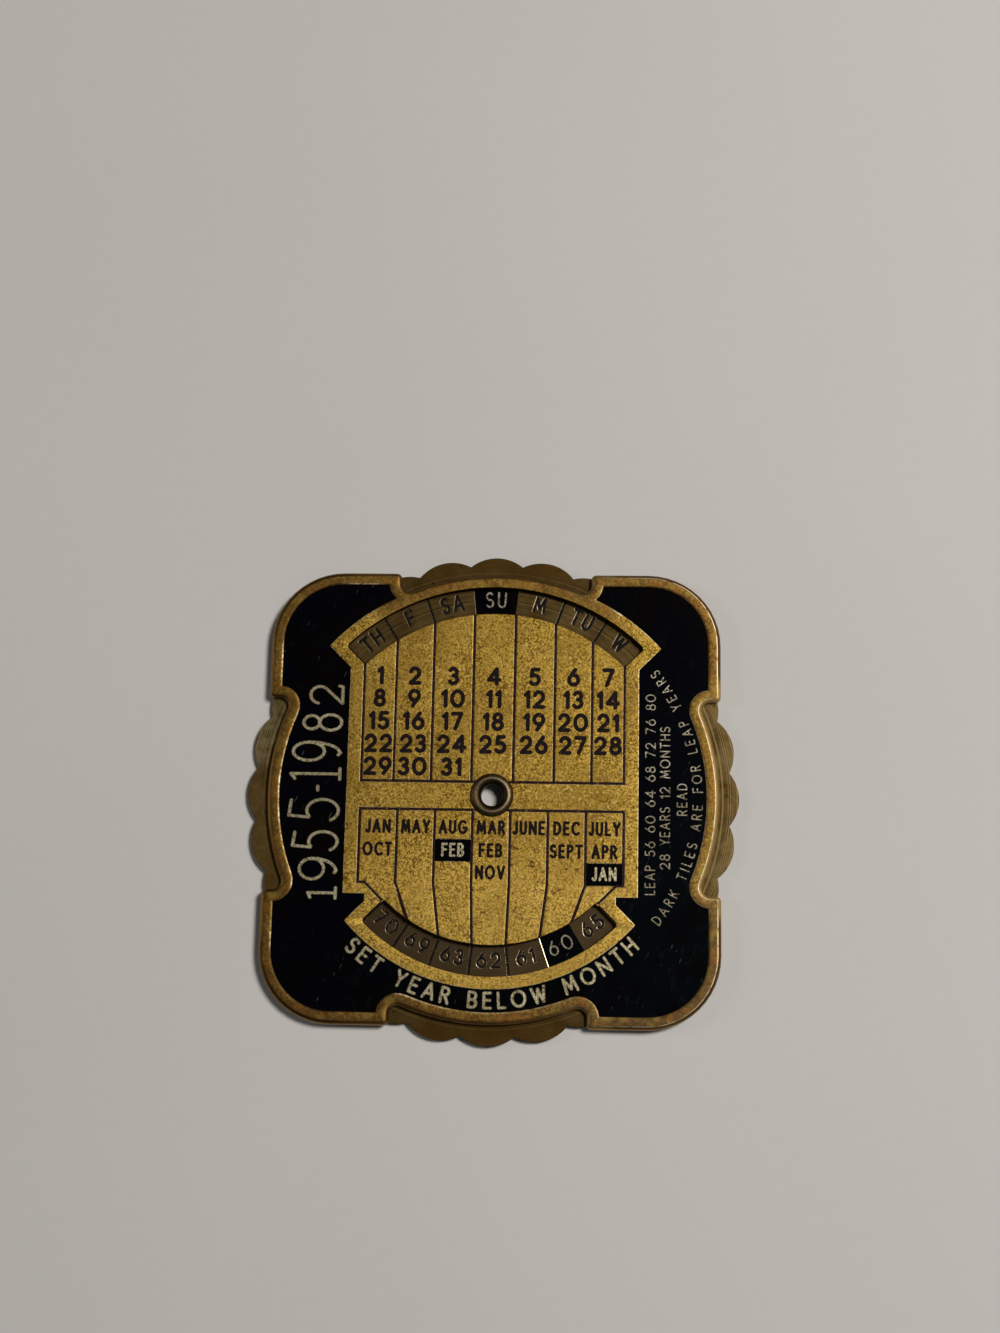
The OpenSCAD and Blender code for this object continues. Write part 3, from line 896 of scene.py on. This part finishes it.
def ribbon(points, width):
    """Corners and faces of one flat stroke along a centre line."""
    line = [Vector(p) for p in points]
    closed = (line[0] - line[-1]).length < SAME_POINT
    runs = [(b - a).normalized() for a, b in zip(line, line[1:])]
    ends = (runs[-1], runs[0]) if closed else (runs[0], runs[-1])
    corners = []
    for point, before, after in zip(line, [ends[0], *runs], [*runs, ends[1]]):
        along = (before + after).normalized()
        reach = width / 2 / along.dot(after) * Vector((-along.y, along.x))
        corners += [point + reach, point - reach]
    if closed:
        corners = corners[:-2]
    count = len(corners)
    faces = [[(i + k) % count for k in (0, 1, 3, 2)] for i in range(0, 2 * len(runs), 2)]
    if not closed:
        first = cap(line[0], -runs[0], width)
        last = cap(line[-1], runs[-1], width)
        faces.append([0, *range(count, count + len(first)), 1])
        faces.append([count - 1, *range(count + len(first), count + len(first) + len(last)), count - 2])
        corners += first + last
    return corners, faces


print("pen splits a stroke at turns over", round(math.degrees(SPLIT_TURN)), "degrees")

# %% [markdown]
# ## From ribbon to solid figure
# Each ribbon is pulled up into a thin solid with the extrude operator, and raised letters get a bevel on
# their top edge to catch the light. Ribbons that cross simply run into each other. Each lies a trace over
# the one before, because two faces at exactly one height would shade each other black.

# %% Solid figures
LEVEL_STEP = 0.002


def show(name, mesh):
    """A new object for a mesh, selected alone and active."""
    made = bpy.data.objects.new(name, mesh)
    bpy.context.scene.collection.objects.link(made)
    show_alone(made)
    return made


def solid_figure(name, strokes, width, foot, top, edge=0.0):
    """A mesh of the strokes, in millimetres, from its foot to its top, with a bevel on the top edge."""
    points = []
    faces = []
    for level, run in enumerate(run for stroke in strokes for run in split_strokes(stroke)):
        corners, quads = ribbon(run, width)
        faces += [[len(points) + i for i in quad] for quad in quads]
        points += [(corner.x, corner.y, foot + level * LEVEL_STEP) for corner in corners]
    mesh = bpy.data.meshes.new(name)
    mesh.from_pydata(points, [], faces)
    figure = show(name, mesh)
    bpy.ops.object.mode_set(mode="EDIT")
    bpy.ops.mesh.select_all(action="SELECT")
    bpy.ops.mesh.extrude_region_move(TRANSFORM_OT_translate={"value": (0, 0, top - foot)})
    if edge > 0:
        bpy.ops.mesh.region_to_loop()
        bpy.ops.mesh.bevel(offset=edge, segments=1, affect="EDGES")
    bpy.ops.mesh.select_all(action="SELECT")
    bpy.ops.mesh.normals_make_consistent(inside=False)
    bpy.ops.object.mode_set(mode="OBJECT")
    bpy.data.objects.remove(figure)
    return mesh


def sized(strokes, width, height):
    """Centre lines stretched to a width and height, about the middle of their box."""
    spots = [x for stroke in strokes for x, y in stroke]
    left = min(spots)
    span = max(spots) - left
    return [[((x - left - span / 2) * width, (y - 0.5) * height) for x, y in s] for s in strokes]


print("ribbons that cross lie", LEVEL_STEP, "mm apart")

# %% [markdown]
# ## Setting type
# A word is set letter by letter, like metal type: each letter is made once per style and copied to its
# place, and all copies are joined to one piece. A line of type may run straight, turned by an angle, or
# round the eyelet with its tops turned outwards or inwards. Heights, strokes and gaps are in millimetres.

# %% Type setter
WORD_SPACE = 0.45


def turned(angle):
    return Matrix.Rotation(angle, 4, "Z")


def placed(mesh, place):
    """A copy of a mesh in millimetres, moved to its place on the calendar."""
    copy = mesh.copy()
    copy.transform(Matrix.Scale(MM, 4) @ place)
    return copy


def joined(name, copies):
    """One object of all the copies."""
    bpy.ops.object.select_all(action="DESELECT")
    for copy in copies:
        part = bpy.data.objects.new(name, copy)
        bpy.context.scene.collection.objects.link(part)
        part.select_set(True)
        bpy.context.view_layer.objects.active = part
    bpy.ops.object.join()
    piece = bpy.context.object
    piece.name = name
    piece.data.name = name
    return piece


class Type:
    """A style of lettering, with the levels of its foot, top and bevelled edge."""

    def __init__(self, height, stroke, narrow, gap, **levels):
        self.height = height
        self.stroke = stroke
        self.narrow = narrow
        self.gap = gap
        self.levels = levels
        self.cut = {}
        self.copies = []

    def breadth(self, letter):
        if letter == " ":
            return self.height * WORD_SPACE
        spots = [x for stroke in LETTERS[letter] for x, y in stroke]
        return (max(spots) - min(spots)) * self.narrow * (self.height - self.stroke) + self.stroke

    def letter(self, letter):
        """The mesh of a letter, which is made when it is first asked for."""
        if letter not in self.cut:
            rise = self.height - self.stroke
            strokes = sized(LETTERS[letter], self.narrow * rise, rise)
            self.cut[letter] = solid_figure("letter_" + letter, strokes, self.stroke, **self.levels)
        return self.cut[letter]

    def stops(self, text, length):
        """Each letter with the distance of its middle from the middle of the text, spaced to a length."""
        breadths = [self.breadth(letter) for letter in text]
        gap = (length - sum(breadths)) / (len(text) - 1) if length else self.gap
        start = -(sum(breadths) + gap * (len(text) - 1)) / 2
        found = []
        for letter, breadth in zip(text, breadths):
            found.append((letter, start + breadth / 2))
            start += breadth + gap
        return [stop for stop in found if stop[0] != " "]

    def line(self, text, x, y, turn=0.0, length=None):
        """Straight text about a middle, turned by an angle in degrees."""
        base = Matrix.Translation((x, y, 0)) @ turned(math.radians(turn))
        for letter, along in self.stops(text, length):
            place = base @ Matrix.Translation((along, 0, 0))
            self.copies.append(placed(self.letter(letter), place))

    def round(self, text, radius, middle, tops_out, length=None):
        """Text on a circle about the eyelet, with its middle at an angle in degrees from +X."""
        facing = -1 if tops_out else 1
        for letter, along in self.stops(text, length):
            turn = math.radians(middle + facing * 90) + facing * along / radius
            place = turned(turn) @ Matrix.Translation((0, -facing * radius, 0))
            self.copies.append(placed(self.letter(letter), place))

    def finish(self, name, material, body, slot):
        """All letters set so far as one piece, which rides on a body."""
        dress(joined(name, self.copies), material, body)


print("a space between words takes", WORD_SPACE, "of a letter's height")

# %% [markdown]
# ## Dates and months
# Thirty-one numerals stand in seven columns under the weekdays, and the months stand in seven columns
# over the years. The columns are not typed in: the ruled lines of the dates run to the edges of the
# weekday cells, so a column's middle follows from the ring's radius and the pitch of the wheel. Most of
# them are flat paint, and the months for leap years are bare metal that stands up in dark tiles.

# %% Dates and months
DAYS = 7
PITCH = 360 / 28
SINK = 0.02
PAINT_RISE = 0.012
SMALL_EDGE = 0.02
DATE_TOP_ROW = 13.24
DATE_ROW = 2.54
MONTH_ROWS = (-3.55, -6.05, -8.45)
MONTHS = [["JAN", "OCT"], ["MAY"], ["AUG"], ["MAR", "FEB", "NOV"], ["JUNE"], ["DEC", "SEPT"],
          ["JULY", "APR"]]
LEAP_MONTHS = {2: ("FEB", 1), 6: ("JAN", 2)}
on_panel = {"foot": PLATE_TOP - SINK, "top": PLATE_TOP + PAINT_RISE}
tile_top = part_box("month_tile_enamel")[1].z / MM


def day_edge(i):
    return DAY_WINDOW[0] * math.sin(math.radians((i - DAYS / 2) * PITCH))


def date_column(i):
    return (day_edge(i) + day_edge(i + 1)) / 2


def month_column(i):
    return (i - (DAYS - 1) / 2) * 2 * day_edge(DAYS) / DAYS


dates = Type(height=2.12, stroke=0.45, narrow=0.92, gap=0.24, **on_panel)
for day in range(1, 32):
    row, column = divmod(day - 1, DAYS)
    dates.line(str(day), date_column(column), DATE_TOP_ROW - row * DATE_ROW)
dates.finish("date_numerals", figure_paint, "plate", "line_fill")

months = Type(height=1.58, stroke=0.31, narrow=0.72, gap=0.15, **on_panel)
for column, names in enumerate(MONTHS):
    for name, y in zip(names, MONTH_ROWS):
        months.line(name, month_column(column), y)
months.finish("month_names", figure_paint, "plate", "line_fill")

tiles = Type(height=1.55, stroke=0.28, narrow=0.72, gap=0.15, foot=tile_top - SINK, top=PLATE_TOP,
             edge=SMALL_EDGE)
for column, (name, row) in LEAP_MONTHS.items():
    tiles.line(name, month_column(column), MONTH_ROWS[row])
tiles.finish("leap_month_names", letter_brass, "plate", "plate_brass")

# %% [markdown]
# ## The order of days and years
# The wheel repeats the week four times round its outer ring and carries twenty-eight years on its inner
# ring, in an order in which years that agree from March on lie a number of weeks apart. Weekdays read
# from outside, years from inside. A style's height and gap are given between the middles of strokes, so
# a broad cutter and the narrow paint in its groove follow the same lines.

# %% Days and years
DAY_RING = 22.16
YEAR_RING = 17.85
DAY_RISE = 1.62
DAY_GAP = 0.64
YEAR_RISE = 1.47
YEAR_GAP = 0.7
WEEK = ["SU", "M", "TU", "W", "TH", "F", "SA"]
YEARS = [70, 69, 63, 62, 61, 60, 65, 64, 58, 57, 56, 67, 66, 71,
         59, 75, 74, 73, 72, 55, 76, 81, 80, 68, 79, 78, 77, 82]


def is_leap(year):
    return year % 4 == 0


def year_angle(i):
    return 270 + (i - (DAYS - 1) / 2) * PITCH


def day_style(stroke, **levels):
    return Type(height=DAY_RISE + stroke, stroke=stroke, narrow=0.82, gap=DAY_GAP - stroke, **levels)


def year_style(stroke, **levels):
    return Type(height=YEAR_RISE + stroke, stroke=stroke, narrow=0.86, gap=YEAR_GAP - stroke, **levels)


def set_wheel(days, years, dark):
    """Sets the weekdays and years of either the dark cells or the bare ones."""
    for i, year in enumerate(YEARS):
        day = WEEK[i % DAYS]
        if (day == "SU") == dark:
            days.round(day, DAY_RING, 90 - i * PITCH, tops_out=True)
        if is_leap(year) == dark:
            years.round(str(year), YEAR_RING, year_angle(i), tops_out=False)


print("cells in a ring:", len(YEARS), "of them leap years:", len([year for year in YEARS if is_leap(year)]))

# %% [markdown]
# ## Marks struck into the wheel
# Weekdays and years in the bare cells are struck into the metal, and their slopes glint beside the dark
# strokes. Flat paint alone would miss that glint. So a cutter with bevelled sides is made of all marks
# and taken from the wheel with a Boolean. It is modelled steep, because a bevel needs some height, and
# then flattened to the shallow groove. A cutter may not cross itself, so each letter's ribbons are first
# united.

# %% Struck marks
GROOVE = 0.05
CUTTER_DEPTH = 0.12
CUTTER_EDGE = 0.98 * CUTTER_DEPTH
CUTTER_LIFT = 0.03
cutter = {"foot": WHEEL_TOP + CUTTER_LIFT, "top": WHEEL_TOP - CUTTER_DEPTH, "edge": CUTTER_EDGE}


def with_boolean(piece, operation, tool):
    """Applies a Boolean to a piece, and removes the tool."""
    show_alone(piece)
    bpy.ops.object.modifier_add(type="BOOLEAN")
    piece.modifiers[-1].operation = operation
    piece.modifiers[-1].solver = "MANIFOLD"
    piece.modifiers[-1].object = tool
    bpy.ops.object.modifier_apply(modifier=piece.modifiers[-1].name)
    bpy.data.objects.remove(tool)


def weld(style, letters):
    """Makes the letters of a style with the ribbons of each united."""
    for letter in sorted(set(letters)):
        show("letter", style.letter(letter))
        bpy.ops.mesh.separate(type="LOOSE")
        first, *others = bpy.context.selected_objects
        for other in others:
            with_boolean(first, "UNION", other)
        style.cut[letter] = first.data
        bpy.data.objects.remove(first)


day_cutter = day_style(stroke=0.46, **cutter)
year_cutter = year_style(stroke=0.42, **cutter)
weld(day_cutter, "".join(WEEK))
weld(year_cutter, "0123456789")
set_wheel(day_cutter, year_cutter, dark=False)
mark_cutter = joined("mark_cutter", day_cutter.copies + year_cutter.copies)
for corner in mark_cutter.data.vertices:
    corner.co.z = (WHEEL_TOP + (corner.co.z / MM - WHEEL_TOP) * GROOVE / CUTTER_DEPTH) * MM
with_boolean(wheel, "DIFFERENCE", mark_cutter)
bpy.ops.object.shade_flat()
print("wheel with struck marks, faces:", len(wheel.data.polygons))

# %% [markdown]
# ## Paint and bare metal on the wheel
# Paint lies at the bottom of each groove and leaves its slopes free, so the painted strokes are narrower
# than the cutter's. In the dark cells it is the other way round: the letters are bare metal that stands
# up through the enamel. All four pieces come from the same two styles.

# %% Weekdays and years
PAINT_DEPTH = 0.62 * GROOVE
PAINT_SINK = 0.01
cell_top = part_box("sunday_enamel")[1].z / MM
in_groove = {"foot": WHEEL_TOP - GROOVE - PAINT_SINK, "top": WHEEL_TOP - PAINT_DEPTH}
raised_in_cell = {"foot": cell_top - SINK, "top": WHEEL_TOP, "edge": SMALL_EDGE}

weekdays = day_style(stroke=0.31, **in_groove)
years = year_style(stroke=0.27, **in_groove)
set_wheel(weekdays, years, dark=False)
weekdays.finish("weekday_letters", wheel_paint, "wheel", "line_fill")
years.finish("year_numerals", wheel_paint, "wheel", "line_fill")

sundays = day_style(stroke=0.23, **raised_in_cell)
leap_years = year_style(stroke=0.2, **raised_in_cell)
set_wheel(sundays, leap_years, dark=True)
sundays.finish("sunday_letters", dull_brass, "wheel", "wheel_brass")
leap_years.finish("leap_year_numerals", dull_brass, "wheel", "wheel_brass")

# %% [markdown]
# ## Fences of the dark cells
# The enamel of a leap year ends at a thin polished ridge at one side of its cell. Where such a ridge lies
# across the light, it flashes white, and its neighbours stay dull. A cylinder half sunk in the metal gives
# this by itself. It is made once, turned along a radius, copied to each of the dark cells and joined.

# %% Cell fences
FENCE_RADIUS = 0.12
FENCE_RISE = 0.03
FENCE_SIDES = 12
FENCE_FROM = YEAR_WINDOW[0]
FENCE_TO = YEAR_RING_OUT
RIDGE_DARK = tint(0.62, 0.50, 0.28)
RIDGE_LIGHT = tint(0.92, 0.82, 0.58)

polished, shader, place = new_material("polished_brass")
rub = noise(place, 0.3)
connect(shader, Base_Color=blend(between(rub, 0.35, 0.7), RIDGE_DARK, RIDGE_LIGHT), Metallic=1.0,
        Roughness=0.2 + 0.15 * rub)

middle = ((FENCE_FROM + FENCE_TO) / 2, 0, WHEEL_TOP + FENCE_RISE - FENCE_RADIUS)
bpy.ops.object.select_all(action="DESELECT")
bpy.ops.mesh.primitive_cylinder_add(vertices=FENCE_SIDES, radius=FENCE_RADIUS, depth=FENCE_TO - FENCE_FROM)
rod = bpy.context.object
bpy.ops.object.mode_set(mode="EDIT")
bpy.ops.mesh.select_all(action="SELECT")
bpy.ops.transform.rotate(value=math.radians(90), orient_axis="Y", center_override=(0, 0, 0))
bpy.ops.transform.translate(value=middle)
bpy.ops.object.mode_set(mode="OBJECT")
bpy.ops.object.shade_smooth_by_angle(angle=SHARP)
sides = [year_angle(i - 0.5) for i, year in enumerate(YEARS) if is_leap(year)]
fences = [placed(rod.data, turned(math.radians(side))) for side in sides]
bpy.data.objects.remove(rod)
dress(joined("cell_fences", fences), polished, "wheel")

# %% [markdown]
# ## Raised words in the enamel
# The words round the border are metal that stands up through the enamel to the height of the panel.
# They say in plain words how a calendar of this kind is read, and two straight lines give plain figures.
# Each line is spaced out to a length, as a die engraver fills the room there is.

# %% Raised words
WORD_DROP = 0.01
WORD_EDGE = 0.05
raised = {"foot": FIELD_FLOOR, "top": PLATE_TOP - WORD_DROP, "edge": WORD_EDGE}

band = Type(height=1.95, stroke=0.36, narrow=0.95, gap=0.5, **raised)
band.round("SET YEAR BELOW MONTH", radius=22.15, middle=271, tops_out=False, length=34.0)
band.finish("band_words", letter_brass, "plate", "plate_brass")

side = Type(height=1.2, stroke=0.19, narrow=0.9, gap=0.26, **raised)
side.line("LEAP 56 60 64 68 72 76 80", x=17.3, y=0.4, turn=90, length=22.1)
side.line("28 YEARS 12 MONTHS", x=18.9, y=0.0, turn=90, length=15.7)
side.line("READ", x=20.75, y=-0.2, turn=90, length=3.6)
side.round("DARK TILES ARE FOR LEAP YEARS", radius=22.45, middle=0.5, tops_out=False, length=29.7)
side.finish("side_words", dull_brass, "plate", "plate_brass")

# %% [markdown]
# ## The span of years
# The large figures at the left grow towards the middle of the band, because the band is widest there.
# They have the feet and drops of roman figures. Each is drawn in a square box and stretched to its own
# height, and the pen keeps its width, so a stretched figure doesn't get heavier.

# %% Span of years
FOOT = [(0, 0), (1, 0)]
FIGURES = {
    "1": [[(0.5, 0), (0.5, 1), (0.05, 0.92)], FOOT],
    "9": [arc(0.5, 0.67, 0.5, 0.33, 0, 360), arc(0.36, 0.62, 0.64, 0.62, 4, -84),
          [(0.32, 0.05), (0.42, 0.01)]],
    "5": [[(0.95, 0.96), (0.2, 1), (0.12, 0.6)], arc(0.45, 0.32, 0.55, 0.32, 122, -148)],
    "8": [arc(0.5, 0.79, 0.43, 0.21, 0, 360), arc(0.5, 0.29, 0.5, 0.29, 0, 360)],
    "2": [[*arc(0.5, 0.71, 0.5, 0.29, 170, -42), (0, 0)], FOOT, [(1, 0), (1.03, 0.1)]],
    "-": [[(0, 0.44), (1, 0.44)]],
}
SPAN_X = -16.6
SPAN_STROKE = 0.39
# Each figure with its middle along the side, its width and its height
SPAN = [
    ("1", -10.95, 1.15, 3.4),
    ("9", -8.35, 2.25, 4.45),
    ("5", -5.25, 1.95, 5.3),
    ("5", -1.85, 2.25, 5.85),
    ("-", 0.5, 0.45, 5.8),
    ("1", 2.1, 1.2, 5.8),
    ("9", 4.6, 2.05, 5.65),
    ("8", 7.85, 1.75, 4.6),
    ("2", 10.95, 1.9, 3.95),
]


def span_figure(figure, y, width, height):
    """A tall figure that stands on the line at the left, turned to be read from the right side."""
    rise = height - SPAN_STROKE
    strokes = [[((u - 0.5) * width, v * rise + SPAN_STROKE / 2) for u, v in s] for s in FIGURES[figure]]
    mesh = solid_figure("figure_" + figure, strokes, SPAN_STROKE, **raised)
    return placed(mesh, Matrix.Translation((SPAN_X, y, 0)) @ turned(math.radians(90)))


figures = [span_figure(*settings) for settings in SPAN]
dress(joined("year_span_figures", figures), letter_brass, "plate")
